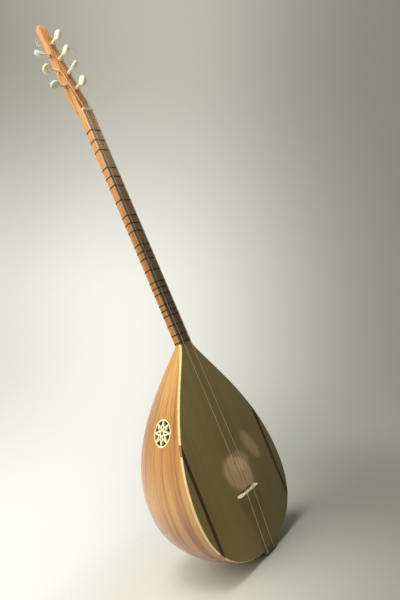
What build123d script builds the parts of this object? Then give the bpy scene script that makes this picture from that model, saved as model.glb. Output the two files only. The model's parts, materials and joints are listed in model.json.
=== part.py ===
from build123d import *
import os
from math import cos, hypot, pi, radians, sin

# A long-necked saz (baglama).  Millimetres, +Z up along the neck, +X to the right when the
# soundboard is faced, -Y out of the soundboard.  The origin is the tail end of the soundboard's
# top surface, on the centre line.

# ---- strings and scale -------------------------------------------------------------------
SCALE_LENGTH = 840.0                  # nut to bridge
BRIDGE_Z = 0.135 * SCALE_LENGTH       # bridge above the tail edge
NECK_LENGTH = 0.6305 * SCALE_LENGTH   # nut to the top of the soundboard
NUT_Z = BRIDGE_Z + SCALE_LENGTH
JOINT_Z = NUT_Z - NECK_LENGTH

# ---- bowl and soundboard -------------------------------------------------------------------
BODY_HALF_WIDTH = 142.0       # half the widest width
WIDEST_Z = 0.316 * JOINT_Z    # where the outline is widest
JOINT_HALF_WIDTH = 15.0       # half width where the neck begins
TAIL_FULLNESS = 2.3           # superellipse power of the outline below the widest place
SHOULDER_POWER = 1.25         # how the shoulders draw in towards the neck
BOARD_THICKNESS = 5.5
BOWL_DEPTH = 208.0            # rim to the deepest point
DEEPEST_Z = 0.3655 * JOINT_Z
TAIL_ROUNDNESS = 2.15         # superellipse power of the back line below the deepest place
BACK_POWER = 1.9              # how the back line rises to the neck
SECTION_FULLNESS = 2.5        # superellipse power of every cross section
BOWL_WALL = 4.0
BOWL_END_Z = 1.0              # the staves stop here and the string holder closes the end
STAVE_COUNT = 11
PROFILE_STATIONS = 18         # points along each seam
SECTION_STEPS = 16            # steps round each cross section
SLOPE_STEP = 0.02             # height over which a slope is taken
OVER = 1.0                    # how far a cutter runs past what it cuts

STRIP_X = 0.836 * BODY_HALF_WIDTH     # dark strip between the centre plate and each wing
STRIP_WIDTH = 8.0
LINING_WIDTH = 6.0
LINING_HEIGHT = 9.0
LINING_GLUE = 0.3             # glue line between lining and wall
LINING_LOW_Z = 24.0
BRACE_PLACES = (0.448 * JOINT_Z, 0.684 * JOINT_Z)
BRACE_WIDTH = 8.0
BRACE_HEIGHT = 14.0
BLOCK_LENGTH = 50.0           # neck block, along the neck
BLOCK_CLEARANCE = 0.7         # glue line round the neck block
TAIL_BLOCK_RADIUS = 34.0
TAIL_BLOCK_LOW_Z = 11.0
TAIL_BLOCK_HIGH_Z = 32.0
TAIL_PLUG_RADIUS = 11.0

ROSETTE_ANGLE = 25.0          # round from the left rim, seen along the neck
ROSETTE_Z = 0.665 * JOINT_Z
ROSETTE_RADIUS = 26.5
ROSETTE_RING = 2.6
STAR_POINTS = 8
STAR_OVERLAP = 0.6            # how far each point of the star runs into the ring
STAR_TIP = 0.9                # half width of a point where it meets the ring
# Shares of the star's radius.
STAR_ROOT = 0.17              # the open middle
STAR_WAIST = 0.5              # where neighbouring points part
DIAMOND = (0.26, 0.43, 0.6)   # the opening in each point: near end, widest place, far end
DIAMOND_HALF_WIDTH = 0.11

# ---- neck, fingerboard and frets -----------------------------------------------------------
NUT_HALF_WIDTH = 13.7
FINGERBOARD_FACE_Y = -1.0
FINGERBOARD_THICKNESS = 3.0
NECK_TOP_Y = FINGERBOARD_FACE_Y + FINGERBOARD_THICKNESS
NECK_DEPTH_JOINT = 18.5       # below the rim plane
NECK_DEPTH_NUT = 16.5
NECK_LEAN = 1.2               # the neck leans back from the soundboard's plane
NECK_END = 4.0                # the neck runs this far past the nut line, under the nut
NECK_FOOT = 4.0               # extra length at the joint, cut off flat once the neck leans
TENON_LENGTH = 24.0
TENON_HALF_WIDTH = 7.0
TENON_DEPTH = 9.0
FRET_WIDTH = 1.9
FRET_HEIGHT = 0.9
FRET_CLEARANCE = 0.02
# Distances from the nut as shares of the scale: the seventeen-step scale of the long neck.
FRETS = (1 / 18, 1 / 12, 1 / 9, 13 / 81, 5 / 27, 17 / 81, 1 / 4, 7 / 24, 5 / 16, 1 / 3, 10 / 27,
         7 / 18, 11 / 27, 7 / 16, 15 / 32, 31 / 64, 1 / 2, 19 / 36, 13 / 24, 5 / 9, 47 / 81,
         49 / 81, 5 / 8)

# ---- peghead and pegs ------------------------------------------------------------------------
HEAD_TILT = 6.3
HEAD_LENGTH = 232.0
HEAD_TIP = 12.0
HEAD_CROWN = ((HEAD_TIP / 3, 0.8), (0.0, 0.45))    # distance below the tip, share of the section
HEAD_STATIONS = 4             # sections between neighbouring pegs
HEAD_STEPS = 24               # steps round the back of each section
HEAD_LEFT = (13.7, 10.8)      # centre line to the flat left face, at the nut and at the tip
HEAD_RIGHT = (13.8, 11.0)
HEAD_DEPTH = (25.0, 14.0)     # the throat below the nut draws the first down to the neck
HEAD_FULLNESS = (2.5, 5.0)    # superellipse power of the back, at the nut and past HEAD_BLEND
HEAD_BLEND = 40.0
HEAD_WAVE = 1.5               # how far the carved waves of the right and back faces stand out
PEG_PITCH = 41.0
FRONT_PEG_FIRST = 51.5        # lowest front peg, along the head from the nut
SIDE_PEG_FIRST = 66.0         # lowest side peg
SIDE_PEG_DEPTH = 8.0          # side peg axis below the face
# Turn of each handle about its shaft when the strings are in tune, lowest peg first.
FRONT_PEG_TURNS = (-11.0, -40.0, -22.0, -15.0)
SIDE_PEG_TURNS = (-97.0, -57.0, 20.0)
PEG_RADIUS = 3.8
PEG_RUNNING_CLEARANCE = 0.05
PEG_SEAT = 5.6                # straight part above the face, where the string is wound
PEG_STEM = 17.0               # face of the head to the handle
PEG_SWELL_RADIUS = 4.2
PEG_WAIST_RADIUS = 3.1
PEG_TAIL = 2.0                # how far the shaft comes out on the far side
PEG_END_BEVEL = (0.5, 0.8)    # across and along the shaft
HANDLE_RADIUS = 11.0
HANDLE_THICKNESS = 8.5
HANDLE_ROUNDING = 3.2
HANDLE_SINK = 2.5             # how far the stem runs into the handle

# ---- strings, nut, bridge and string holder --------------------------------------------------
STRING_X_NUT = (-10.3, -8.7, -0.8, 0.8, 8.0, 9.5, 11.0)
STRING_RADII = (0.25, 0.4, 0.25, 0.25, 0.25, 0.4, 0.25)
BRIDGE_SPREAD = 1.25          # the strings are this much wider apart at the bridge
NUT_HEIGHT = 3.0              # above the fingerboard
NUT_THICKNESS = 4.0
NUT_SLOT_DEPTH = 0.8
STRING_SEAT = 0.02            # clearance under a string in its slot
STRING_BEND = 1.15            # bend at each knee, in string radii
SLOT_OPENING = 2.0            # how far a string slot is cut open above the string's axis
BRIDGE_HALF_LENGTH = 31.0
BRIDGE_HEIGHT = 10.5
BRIDGE_THICKNESS = 4.5
BRIDGE_TOP_THICKNESS = 2.2
BRIDGE_FOOT = 12.0
BRIDGE_ARCH = 4.5
BRIDGE_SLOT_DEPTH = 0.6
HOLDER_REACH = (-16.0, 23.5)  # the holder sits a little to the right of the centre line
HOLDER_THICKNESS = 7.5
HOLDER_FACE_Y = -2.0
HOLDER_HEIGHT = 27.0
PIN_RADIUS = 0.45
PIN_OUT = 2.5
PIN_IN = 4.0
PIN_Y = 6.0
WINDING_TURNS = 5
WINDING_LIFT = 1.2            # first turn above the face of the head
WINDING_GAP = 0.3             # string end to the coil on its peg
COURSE_CORNER = 12.0          # side strings turn over the edge this far below their pegs


def half_width(z):
    """Half the width of the soundboard at height z."""
    if z <= WIDEST_Z:
        run = 1 - (1 - z / WIDEST_Z) ** TAIL_FULLNESS
        return BODY_HALF_WIDTH * run ** (1 / TAIL_FULLNESS)
    rise = (z - WIDEST_Z) / (JOINT_Z - WIDEST_Z)
    return JOINT_HALF_WIDTH + (BODY_HALF_WIDTH - JOINT_HALF_WIDTH) * (1 - rise ** 2) ** SHOULDER_POWER


def bowl_depth(z):
    """Depth of the bowl below its rim at height z."""
    if z <= DEEPEST_Z:
        run = 1 - (1 - z / DEEPEST_Z) ** TAIL_ROUNDNESS
        return BOWL_DEPTH * run ** (1 / TAIL_ROUNDNESS)
    rise = (z - DEEPEST_Z) / (JOINT_Z - DEEPEST_Z)
    return NECK_DEPTH_JOINT + (BOWL_DEPTH - NECK_DEPTH_JOINT) * (1 - rise ** BACK_POWER)


def section_radius(half, depth, angle, power=SECTION_FULLNESS):
    """Distance from the rim's centre to a half-superellipse, angle degrees round from the left rim."""
    across = (abs(cos(radians(angle))) / half) ** power
    down = (abs(sin(radians(angle))) / depth) ** power
    return (across + down) ** (-1 / power)


def bowl_radius(z, angle):
    return section_radius(half_width(z), bowl_depth(z), angle)


def bowl_slope(z, angle):
    """Growth of the bowl's radius with height."""
    near = min(z, JOINT_Z - SLOPE_STEP)
    return (bowl_radius(near + SLOPE_STEP, angle) - bowl_radius(near, angle)) / SLOPE_STEP


def stations(low, high, count):
    """Heights from low to high, closer together at both ends, where the bowl curves most."""
    return [low + (high - low) * (1 - cos(pi * i / (count - 1))) / 2 for i in range(count)]


def profile(angle, inset=0.0, low=BOWL_END_Z, high=JOINT_Z):
    """(radius, z) points along the bowl at one angle, moved inwards square to the surface."""
    points = []
    for z in stations(low, high, PROFILE_STATIONS):
        slope = bowl_slope(z, angle)
        size = hypot(slope, 1)
        points.append((bowl_radius(z, angle) - inset / size, z + inset * slope / size))
    return points


def radial_point(angle, radius, z):
    """A point of the radial plane at one angle round the rim's centre line."""
    return Vector(-radius * cos(radians(angle)), BOARD_THICKNESS + radius * sin(radians(angle)), z)


def crescent(angle):
    """The cut face of the bowl's wall in one radial plane."""
    outer = [radial_point(angle, r, z) for r, z in profile(angle)]
    inner = [radial_point(angle, r, z) for r, z in profile(angle, BOWL_WALL)]
    edges = [Edge.make_spline(outer), Edge.make_line(outer[-1], inner[-1]),
             Edge.make_spline(inner[::-1]), Edge.make_line(inner[0], outer[0])]
    return Face(Wire(edges))


def stave(index):
    """One stave: the bowl's wall between two seams."""
    width = 180 / STAVE_COUNT
    return Solid.make_loft([crescent(width * (index + k / 2)).outer_wire() for k in range(3)])


def outline_face():
    """The soundboard's outline as a face in the plane of its top surface."""
    right = [Vector(r, 0, z) for r, z in profile(0)]
    tail = [Vector(0, 0, 0)]
    left = [left_point(point) for point in right]
    curve = Edge.make_spline(right[::-1] + tail + left)
    return Face(Wire([curve, Edge.make_line(left[-1], right[-1])]))


def rim_face(inset):
    """The space inside the rim, inset from the outline and cut off straight above the tail block."""
    right = [Vector(r, 0, z) for r, z in profile(0, inset, low=LINING_LOW_Z)]
    left = [left_point(point) for point in right]
    edges = [Edge.make_spline(right), Edge.make_spline(left), Edge.make_line(right[-1], left[-1]),
             Edge.make_line(right[0], left[0])]
    return Face(Wire(edges))


def left_point(point):
    return Vector(-point.X, point.Y, point.Z)


def slab(face, near, far):
    """A face in the rim's plane, thickened from y = near to y = far."""
    return extrude(face.moved(Location((0, near, 0))), amount=far - near, dir=(0, 1, 0))


def block(x_range, y_range, z_range):
    """A box between three pairs of coordinates."""
    size = [b - a for a, b in (x_range, y_range, z_range)]
    centre = [(a + b) / 2 for a, b in (x_range, y_range, z_range)]
    return Pos(*centre) * Box(*size)


def rod(start, end, radius):
    """A round rod between two points."""
    run = Vector(end) - Vector(start)
    return Solid.make_cylinder(radius, run.length, Plane(origin=start, z_dir=run))


# ---- soundboard --------------------------------------------------------------------------------

def soundboard_parts():
    board = slab(outline_face(), 0, BOARD_THICKNESS)
    inner = STRIP_X - STRIP_WIDTH / 2
    outer = STRIP_X + STRIP_WIDTH / 2
    depth = (-OVER, BOARD_THICKNESS + OVER)
    height = (-OVER, JOINT_Z + OVER)
    far = BODY_HALF_WIDTH + OVER
    return {
        "soundboard_centre": board & block((-inner, inner), depth, height),
        "soundboard_strip_left": board & block((-outer, -inner), depth, height),
        "soundboard_strip_right": board & block((inner, outer), depth, height),
        "soundboard_wing_left": board & block((-far, -outer), depth, height),
        "soundboard_wing_right": board & block((outer, far), depth, height),
    }


def lining(side):
    """The strip glued inside the rim that the soundboard sits on; side is -1 or 1."""
    ring = rim_face(BOWL_WALL + LINING_GLUE) - rim_face(BOWL_WALL + LINING_WIDTH)
    strip = slab(ring, BOARD_THICKNESS, BOARD_THICKNESS + LINING_HEIGHT)
    width = sorted((0, side * BODY_HALF_WIDTH))
    depth = (0, BOARD_THICKNESS + LINING_HEIGHT + OVER)
    height = (LINING_LOW_Z + BOWL_WALL + LINING_WIDTH, JOINT_Z - BLOCK_LENGTH)
    return strip & block(width, depth, height)


def brace(z):
    """A cross brace under the soundboard, from lining to lining, thinner towards its ends."""
    reach = half_width(z) - BOWL_WALL - LINING_WIDTH - BRACE_WIDTH / 2
    deep = BOARD_THICKNESS + BRACE_HEIGHT
    shallow = BOARD_THICKNESS + BRACE_HEIGHT / 2
    outline = Polygon((-reach, BOARD_THICKNESS), (reach, BOARD_THICKNESS), (reach, shallow),
                      (reach / 2, deep), (-reach / 2, deep), (-reach, shallow), align=None)
    return extrude(Pos(0, 0, z - BRACE_WIDTH / 2) * outline, amount=BRACE_WIDTH)


# ---- blocks inside the bowl --------------------------------------------------------------------

def inner_section(z, inset):
    """The space inside the bowl at height z as a face, kept inset from the outside."""
    points = []
    for k in range(SECTION_STEPS + 1):
        angle = 180 * k / SECTION_STEPS
        radius = bowl_radius(z, angle) - inset * hypot(bowl_slope(z, angle), 1)
        points.append(radial_point(angle, radius, z))
    return Wire([Edge.make_spline(points), Edge.make_line(points[-1], points[0])])


def tenon():
    return block((-TENON_HALF_WIDTH, TENON_HALF_WIDTH),
                 (BOARD_THICKNESS, BOARD_THICKNESS + TENON_DEPTH), (JOINT_Z - TENON_LENGTH, JOINT_Z))


def neck_block():
    levels = [JOINT_Z - BLOCK_LENGTH * k / 2 for k in (2, 1, 0.4)]
    return Solid.make_loft([inner_section(z, BOWL_WALL + BLOCK_CLEARANCE) for z in levels]) - tenon()


def tail_block():
    """A half-round block at the tail with a plug that reaches the string holder."""
    top = (0, BOARD_THICKNESS, TAIL_BLOCK_HIGH_Z)
    wide = rod((0, BOARD_THICKNESS, TAIL_BLOCK_LOW_Z), top, TAIL_BLOCK_RADIUS)
    plug = rod((0, BOARD_THICKNESS, BOWL_END_Z), top, TAIL_PLUG_RADIUS)
    reach = TAIL_BLOCK_RADIUS + OVER
    return (wide + plug) & block((-reach, reach), (BOARD_THICKNESS, BOARD_THICKNESS + reach),
                                 (0, TAIL_BLOCK_HIGH_Z + OVER))


# ---- rosette -----------------------------------------------------------------------------------

def rosette_plane():
    """The plane that touches the bowl at the rosette's centre, facing outwards, +X up the bowl."""
    centre = radial_point(ROSETTE_ANGLE, bowl_radius(ROSETTE_Z, ROSETTE_ANGLE), ROSETTE_Z)
    higher, further = ROSETTE_Z + 1, ROSETTE_ANGLE + 1
    above = radial_point(ROSETTE_ANGLE, bowl_radius(higher, ROSETTE_ANGLE), higher)
    beside = radial_point(further, bowl_radius(ROSETTE_Z, further), ROSETTE_Z)
    up = above - centre
    outward = up.cross(beside - centre)
    if outward.X > 0:
        outward = -outward
    return Plane(origin=centre, x_dir=up, z_dir=outward)


def sound_hole():
    """A drill through the wall at the rosette."""
    return rosette_plane() * Cylinder(ROSETTE_RADIUS, 8 * BOWL_WALL)


def star_point(turn):
    """One point of the star with its diamond opening, turned about the centre."""
    reach = ROSETTE_RADIUS - ROSETTE_RING + STAR_OVERLAP
    root, waist = STAR_ROOT * reach, STAR_WAIST * reach
    across, along = sin(pi / STAR_POINTS), cos(pi / STAR_POINTS)
    side = [(root * along, root * across), (waist * along, waist * across), (reach, STAR_TIP)]
    kite = Polygon(*side, *[(x, -y) for x, y in side[::-1]], align=None)
    near, middle, far = [share * reach for share in DIAMOND]
    half = DIAMOND_HALF_WIDTH * reach
    diamond = Polygon((near, 0), (middle, half), (far, 0), (middle, -half), align=None)
    return Rot(0, 0, turn) * (kite - diamond)


def rosette_pattern():
    pattern = Circle(ROSETTE_RADIUS) - Circle(ROSETTE_RADIUS - ROSETTE_RING)
    for k in range(STAR_POINTS):
        pattern += star_point(k * 360 / STAR_POINTS)
    return pattern


def rosette(plug):
    """The rose, cut to the curve of the wall so that it lies flush in its hole."""
    prism = rosette_plane() * extrude(rosette_pattern(), amount=2 * BOWL_WALL, both=True)
    return plug & prism


# ---- neck, fingerboard, frets ------------------------------------------------------------------

def lean():
    """Moves what is drawn along a straight neck to where the leaning neck has it."""
    return Pos(0, FINGERBOARD_FACE_Y, JOINT_Z) * Rot(-NECK_LEAN, 0, 0) * Pos(0, -FINGERBOARD_FACE_Y, -JOINT_Z)


def on_neck(shape):
    """A shape leaned back with the neck and cut off flat at the soundboard's end."""
    reach = 2 * BODY_HALF_WIDTH
    return (lean() * shape) & block((-reach, reach), (-reach, reach), (JOINT_Z, JOINT_Z + SCALE_LENGTH))


def neck_share(z):
    return (z - JOINT_Z) / (NUT_Z - JOINT_Z)


def neck_half_width(z):
    return JOINT_HALF_WIDTH + (NUT_HALF_WIDTH - JOINT_HALF_WIDTH) * neck_share(z)


def neck_section(z, top, swell=0.0):
    """The neck's closed D outline at height z, from y = top to its back, swell mm fatter all round."""
    half = neck_half_width(z) + swell
    depth = NECK_DEPTH_JOINT + (NECK_DEPTH_NUT - NECK_DEPTH_JOINT) * neck_share(z) + swell
    back = []
    for k in range(SECTION_STEPS + 1):
        angle = 180 * k / SECTION_STEPS
        back.append(radial_point(angle, section_radius(half, depth, angle), z))
    start = Vector(-half, top - swell, z)
    end = Vector(half, top - swell, z)
    curve = Edge.make_spline(back, tangents=[(0, 1, 0), (0, -1, 0)])
    edges = [Edge.make_line(start, back[0]), curve, Edge.make_line(back[-1], end), Edge.make_line(end, start)]
    return Wire(edges)


def neck():
    ends = (JOINT_Z - NECK_FOOT, NUT_Z + NECK_END)
    return on_neck(Solid.make_loft([neck_section(z, NECK_TOP_Y) for z in ends])) + tenon()


def fingerboard():
    foot = JOINT_Z - NECK_FOOT
    low, high = neck_half_width(foot), neck_half_width(NUT_Z)
    corners = ((-low, 0, foot), (low, 0, foot), (high, 0, NUT_Z), (-high, 0, NUT_Z))
    return on_neck(slab(make_face(Polyline(*corners, close=True)), FINGERBOARD_FACE_Y, NECK_TOP_Y))


def fret(share):
    """One gut fret, tied round the neck and the fingerboard."""
    z = NUT_Z - share * SCALE_LENGTH
    outer = Face(neck_section(z, FINGERBOARD_FACE_Y, FRET_CLEARANCE + FRET_HEIGHT))
    inner = Face(neck_section(z, FINGERBOARD_FACE_Y, FRET_CLEARANCE))
    return lean() * extrude(outer - inner, amount=FRET_WIDTH / 2, dir=(0, 0, 1), both=True)


# ---- peghead and pegs --------------------------------------------------------------------------

def head_plane():
    """Face of the head: local X across, local Y up the head, local Z out of the face."""
    tilt = radians(HEAD_TILT)
    out = (0, -cos(tilt), sin(tilt))
    straight = Plane(origin=(0, NECK_TOP_Y, NUT_Z + NECK_END), x_dir=(1, 0, 0), z_dir=out)
    return Plane(lean() * straight.location)


def taper(ends, along):
    return ends[0] + (ends[1] - ends[0]) * along / HEAD_LENGTH


def wave(along, crest):
    """A carved wave with its crests at one peg row."""
    return HEAD_WAVE * cos(2 * pi * (along - crest) / PEG_PITCH)


def head_left(along):
    return taper(HEAD_LEFT, along)


def head_right(along):
    return taper(HEAD_RIGHT, along) + wave(along, SIDE_PEG_FIRST)


def head_depth(along):
    """Depth of the head below its face, the neck's own depth at the nut."""
    neck = BOARD_THICKNESS - NECK_TOP_Y + NECK_DEPTH_NUT
    throat = max(1 - along / HEAD_BLEND, 0) ** 2
    full = taper(HEAD_DEPTH, along) + wave(along, FRONT_PEG_FIRST)
    return full - (HEAD_DEPTH[0] - neck) * throat


def head_section(along, share=1.0):
    """Flat front and sides with a rounded back, along mm up the head; share shrinks it evenly."""
    left, right, depth = head_left(along), head_right(along), head_depth(along)
    blend = min(max(along / HEAD_BLEND, 0.0), 1.0)
    power = HEAD_FULLNESS[0] + (HEAD_FULLNESS[1] - HEAD_FULLNESS[0]) * blend
    side = BOARD_THICKNESS - NECK_TOP_Y
    half, shift = share * (left + right) / 2, (right - left) / 2
    front = -depth * (1 - share) / 2
    back = []
    for k in range(HEAD_STEPS + 1):
        angle = 180 * k / HEAD_STEPS
        radius = section_radius(half, share * (depth - side), angle, power)
        x, down = -radius * cos(radians(angle)), radius * sin(radians(angle))
        back.append(Vector(shift + x, along, front - share * side - down))
    start, end = Vector(shift - half, along, front), Vector(shift + half, along, front)
    curve = Edge.make_spline(back, tangents=[(0, 0, -1), (0, 0, 1)])
    edges = [Edge.make_line(start, back[0]), curve, Edge.make_line(back[-1], end), Edge.make_line(end, start)]
    return Wire(edges)


def peghead(peg_holes):
    step = PEG_PITCH / HEAD_STATIONS
    count = int((HEAD_LENGTH - HEAD_TIP) / step)
    wires = [head_section(step * k) for k in range(-1, count + 1)]
    wires += [head_section(HEAD_LENGTH - below, share) for below, share in HEAD_CROWN]
    across = (-HEAD_LENGTH, HEAD_LENGTH)
    past_nut = lean() * block(across, across, (NUT_Z + NECK_END, NUT_Z + 2 * HEAD_LENGTH))
    solid = (head_plane() * Solid.make_loft(wires)) & past_nut
    for hole in peg_holes:
        solid -= hole
    return solid


def peg_planes():
    """Every peg's name, plane, handle turn, depth of wood and place up the head.

    Local Z of the plane runs out along the shaft from the surface of the head.
    """
    face = head_plane()
    places = []
    for k, turn in enumerate(FRONT_PEG_TURNS):
        along = FRONT_PEG_FIRST + PEG_PITCH * k
        plane = Plane(face * Plane(origin=(0, along, 0), x_dir=(1, 0, 0), z_dir=(0, 0, 1)))
        places.append((f"front_{k + 1}", plane, turn, head_depth(along), along))
    for k, turn in enumerate(SIDE_PEG_TURNS):
        along = SIDE_PEG_FIRST + PEG_PITCH * k
        left = head_left(along)
        plane = Plane(face * Plane(origin=(-left, along, -SIDE_PEG_DEPTH), x_dir=(0, 0, 1), z_dir=(-1, 0, 0)))
        places.append((f"side_{k + 1}", plane, turn, left + head_right(along), along))
    return places


def peg_hole(plane, through):
    return plane * Cylinder(PEG_RADIUS + PEG_RUNNING_CLEARANCE, 4 * through)


def peg(plane, turn, through):
    """A turned shaft with a round flat handle, as one piece."""
    tail = -(through + PEG_TAIL)
    handle = PEG_STEM + HANDLE_RADIUS
    swell = (PEG_SEAT + PEG_STEM) / 2
    bevel_across, bevel_along = PEG_END_BEVEL
    neck_line = Spline((PEG_RADIUS, 0, PEG_SEAT), (PEG_SWELL_RADIUS, 0, swell), (PEG_WAIST_RADIUS, 0, PEG_STEM),
                       (PEG_WAIST_RADIUS, 0, PEG_STEM + HANDLE_SINK))
    outline = Polyline((PEG_WAIST_RADIUS, 0, PEG_STEM + HANDLE_SINK), (0, 0, PEG_STEM + HANDLE_SINK),
                       (0, 0, tail), (PEG_RADIUS - bevel_across, 0, tail), (PEG_RADIUS, 0, tail + bevel_along),
                       (PEG_RADIUS, 0, PEG_SEAT))
    shaft = revolve(make_face(neck_line + outline), Axis.Z)
    disc = Cylinder(HANDLE_RADIUS, HANDLE_THICKNESS)
    disc = fillet(disc.edges(), HANDLE_ROUNDING)
    disc = Pos(0, 0, handle) * Rot(0, 90, 0) * disc
    return plane * (Rot(0, 0, turn) * (shaft + disc))


def winding(plane, string_radius):
    """The turns of string on a peg, as one ribbed sleeve on its shaft."""
    pitch = 2 * string_radius
    low = WINDING_LIFT
    high = low + WINDING_TURNS * pitch
    inner = PEG_RADIUS
    outer = inner + string_radius
    rib_line = [(inner, 0, high), (inner, 0, low), (outer, 0, low)]
    edges = [Edge.make_line(a, b) for a, b in zip(rib_line, rib_line[1:])]
    for k in range(WINDING_TURNS):
        start = (outer, 0, low + k * pitch)
        middle = (outer + string_radius, 0, low + (k + 0.5) * pitch)
        end = (outer, 0, low + (k + 1) * pitch)
        edges.append(Edge.make_three_point_arc(start, middle, end))
    edges.append(Edge.make_line((outer, 0, high), (inner, 0, high)))
    return plane * revolve(Face(Wire(edges)), Axis.Z)


# ---- nut, bridge, string holder ----------------------------------------------------------------

def nut_top_y():
    return FINGERBOARD_FACE_Y - NUT_HEIGHT


def string_x_bridge(index):
    return STRING_X_NUT[index] * BRIDGE_SPREAD


def string_y_at_nut(index):
    return nut_top_y() + NUT_SLOT_DEPTH - STRING_RADII[index] - STRING_SEAT


def string_y_at_bridge(index):
    return -BRIDGE_HEIGHT + BRIDGE_SLOT_DEPTH - STRING_RADII[index] - STRING_SEAT


def slot(x, y, z_range, radius):
    """A round-bottomed slot across a bar, open towards the front."""
    low, high = z_range
    trough = rod((x, y, low), (x, y, high), radius)
    return trough + block((x - radius, x + radius), (y - SLOT_OPENING, y), z_range)


def nut():
    depth = (nut_top_y(), NECK_TOP_Y)
    solid = block((-NUT_HALF_WIDTH, NUT_HALF_WIDTH), depth, (NUT_Z, NUT_Z + NUT_THICKNESS))
    reach = (NUT_Z - OVER, NUT_Z + NUT_THICKNESS + OVER)
    for index, x in enumerate(STRING_X_NUT):
        solid -= slot(x, string_y_at_nut(index), reach, STRING_RADII[index] + STRING_SEAT)
    return lean() * solid


def bridge():
    """A slim arched bar that stands on two feet."""
    half = BRIDGE_THICKNESS / 2
    top = BRIDGE_TOP_THICKNESS / 2
    end = make_face(Polyline((0, 0, -half), (0, 0, half), (0, -BRIDGE_HEIGHT, top),
                             (0, -BRIDGE_HEIGHT, -top), close=True))
    bar = extrude(Pos(-BRIDGE_HALF_LENGTH, 0, BRIDGE_Z) * end, amount=2 * BRIDGE_HALF_LENGTH, dir=(1, 0, 0))
    span = BRIDGE_HALF_LENGTH - BRIDGE_FOOT
    reach = (BRIDGE_Z - BRIDGE_THICKNESS, BRIDGE_Z + BRIDGE_THICKNESS)
    bar -= block((-span, span), (-BRIDGE_ARCH, OVER), reach)
    for index, radius in enumerate(STRING_RADII):
        bar -= slot(string_x_bridge(index), string_y_at_bridge(index), reach, radius + STRING_SEAT)
    return bar


def holder_low_z():
    return BOWL_END_Z - HOLDER_THICKNESS


def string_holder():
    """The block over the tail end that closes the bowl and takes the pull of the strings."""
    solid = block(HOLDER_REACH, (HOLDER_FACE_Y, HOLDER_FACE_Y + HOLDER_HEIGHT),
                  (holder_low_z(), BOWL_END_Z))
    solid -= slab(outline_face(), HOLDER_FACE_Y - OVER, BOARD_THICKNESS)
    for index in range(len(STRING_RADII)):
        solid -= pin_body(index)
    return solid


def pin_body(index):
    x = string_x_bridge(index) + STRING_RADII[index] + PIN_RADIUS
    low = holder_low_z()
    return rod((x, PIN_Y, low - PIN_OUT), (x, PIN_Y, low + PIN_IN), PIN_RADIUS)


# ---- strings -----------------------------------------------------------------------------------

def string_path(index, plane, along, is_side):
    """Knee points of one string, from its pin to the coil on its peg."""
    radius = STRING_RADII[index]
    x = string_x_bridge(index)
    low = holder_low_z() - radius - STRING_SEAT
    front = HOLDER_FACE_Y - radius - STRING_SEAT
    points = [(x, PIN_Y, low), (x, front, low), (x, front, BOWL_END_Z),
              (x, string_y_at_bridge(index), BRIDGE_Z)]
    over_nut = Pos(STRING_X_NUT[index], string_y_at_nut(index), NUT_Z + NUT_THICKNESS)
    points.append((lean() * over_nut).position)
    coil = PEG_RADIUS + 2 * radius
    height = WINDING_LIFT + (WINDING_TURNS - 0.5) * 2 * radius
    reach = coil + radius + WINDING_GAP
    if is_side:
        edge_along = along - COURSE_CORNER
        corner = Vector(-head_left(edge_along) - radius, edge_along, radius + STRING_SEAT)
        points.append(head_plane().from_local_coords(corner))
    points.append(plane.from_local_coords(Vector(reach, 0, height)))
    return [Vector(point) for point in points]


def string(points, radius):
    """A wire along its knee points, with a small bend at every knee."""
    path = FilletPolyline(*points, radius=STRING_BEND * radius)
    section = Plane(origin=points[0], z_dir=points[1] - points[0]) * Circle(radius)
    return sweep(section, path=path)


# ---- assembly ----------------------------------------------------------------------------------

def build():
    nodes = {}
    hole = sound_hole()
    plug = None
    for index in range(STAVE_COUNT):
        piece = stave(index)
        drilled = piece & hole
        if drilled:
            plug = drilled if plug is None else plug + drilled
            piece -= hole
        nodes[f"bowl_stave_{index + 1}"] = piece
    nodes["rosette"] = rosette(plug)
    nodes.update(soundboard_parts())
    nodes["lining_left"] = lining(-1)
    nodes["lining_right"] = lining(1)
    for index, z in enumerate(BRACE_PLACES):
        nodes[f"brace_{index + 1}"] = brace(z)
    nodes["neck_block"] = neck_block()
    nodes["tail_block"] = tail_block()
    nodes["neck"] = neck()
    nodes["fingerboard"] = fingerboard()
    nodes["frets"] = [fret(share) for share in FRETS]
    nodes["nut"] = nut()
    nodes["bridge"] = bridge()
    nodes["string_holder"] = string_holder()
    nodes["string_pins"] = [pin_body(index) for index in range(len(STRING_RADII))]
    places = peg_planes()
    nodes["peghead"] = peghead([peg_hole(plane, through) for _, plane, _, through, _ in places])
    # Strings from left to right, each with the peg that it goes to.
    order = ("side_1", "side_2", "side_3", "front_1", "front_2", "front_3", "front_4")
    lookup = {name: (plane, turn, through, along) for name, plane, turn, through, along in places}
    for index, name in enumerate(order):
        plane, turn, through, along = lookup[name]
        radius = STRING_RADII[index]
        nodes[f"peg_{name}"] = peg(plane, turn, through)
        nodes[f"winding_{name}"] = winding(plane, radius)
        points = string_path(index, plane, along, name.startswith("side"))
        nodes[f"string_{index + 1}"] = string(points, radius)
    return nodes


def write(nodes):
    os.makedirs("parts", exist_ok=True)
    for name, shape in nodes.items():
        if isinstance(shape, list):
            shape = Compound([solid for piece in shape for solid in piece.solids()])
        export_step(shape, f"parts/{name}.step")


write(build())
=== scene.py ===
import json
from math import cos, hypot, pi, radians, sin

import bmesh
import bpy
from mathutils import Matrix, Vector


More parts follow.
